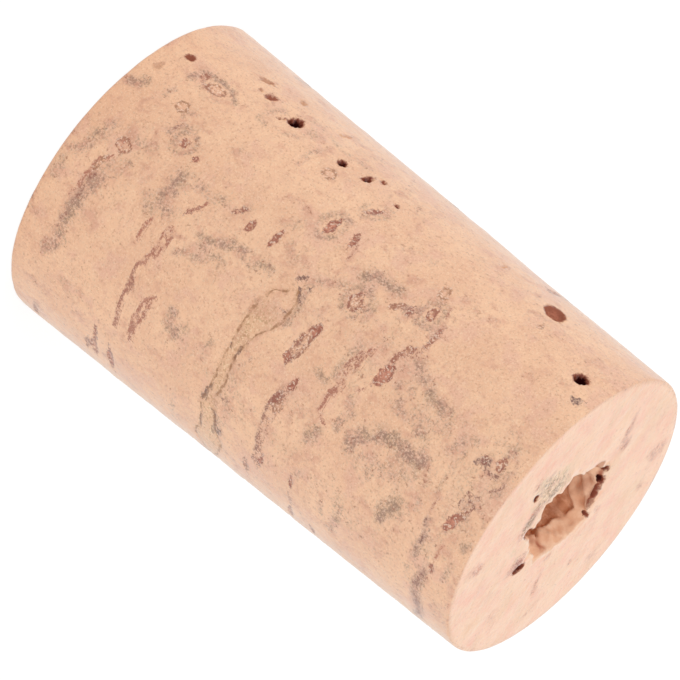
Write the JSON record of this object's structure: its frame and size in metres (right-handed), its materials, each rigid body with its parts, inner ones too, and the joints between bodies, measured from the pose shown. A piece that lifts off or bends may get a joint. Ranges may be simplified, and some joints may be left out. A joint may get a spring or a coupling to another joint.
{
  "type": "flute head cork",
  "caption": "Tapered natural-cork stopper for a flute head joint, drilled lengthwise for its screw.",
  "frame": {"origin": "centre of the wide end face", "axes": "+Z along the bore from the wide end to the narrow end; -Y towards the side with the pair of long cracks"},
  "size_m": [0.018, 0.018, 0.03],
  "materials": {
    "natural_cork": "sanded natural cork, matt, fine-grained with open brown pores"
  },
  "bodies": {
    "root": {"head_cork": "natural_cork"}
  },
  "joints": []
}
